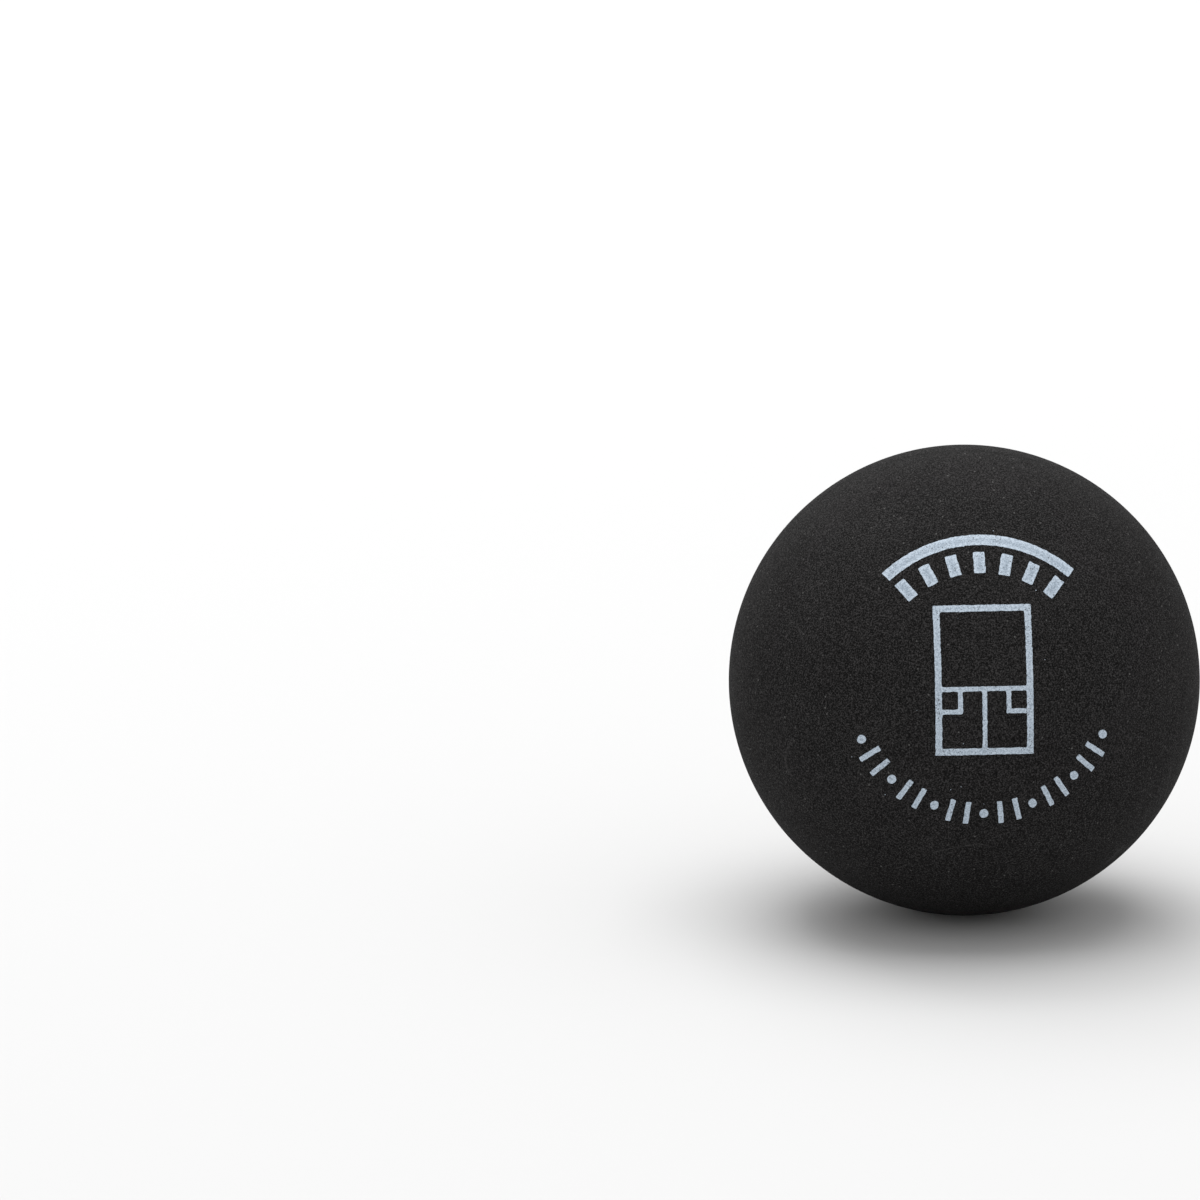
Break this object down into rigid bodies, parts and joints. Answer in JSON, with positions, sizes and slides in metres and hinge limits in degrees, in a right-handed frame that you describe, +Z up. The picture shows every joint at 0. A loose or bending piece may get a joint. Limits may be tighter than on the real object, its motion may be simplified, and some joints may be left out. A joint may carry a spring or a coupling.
{
  "type": "squash ball",
  "caption": "Hollow black rubber ball for squash, moulded as bonded half shells, with plain pale printed scale marks and a round yellow speed dot.",
  "frame": {"origin": "the centre of the ball", "axes": "Y is the pole axis through the crowns of both half shells, so the seam lies in the XZ plane; the printed side faces -Y, and the print's centre lies 14 degrees above the front pole and 5 degrees from it towards +X; +Z is up as the ball lies in the picture"},
  "size_m": [0.04, 0.04, 0.04],
  "materials": {
    "buffed_rubber": "matt, buffed to a fine even grain",
    "cured_cement": "satin where it fills the seam, glossy on the inner bead",
    "silver_ink": "thin pad-printed film, slightly mottled",
    "yellow_ink": "thin pad-printed film, slightly mottled"
  },
  "bodies": {
    "root": {"front_half_shell": "buffed_rubber", "rear_half_shell": "buffed_rubber", "seam_cement": "cured_cement", "upper_scale_print": "silver_ink", "centre_figure_print": "silver_ink", "lower_scale_print": "silver_ink", "speed_dot_print": "yellow_ink"}
  },
  "joints": []
}
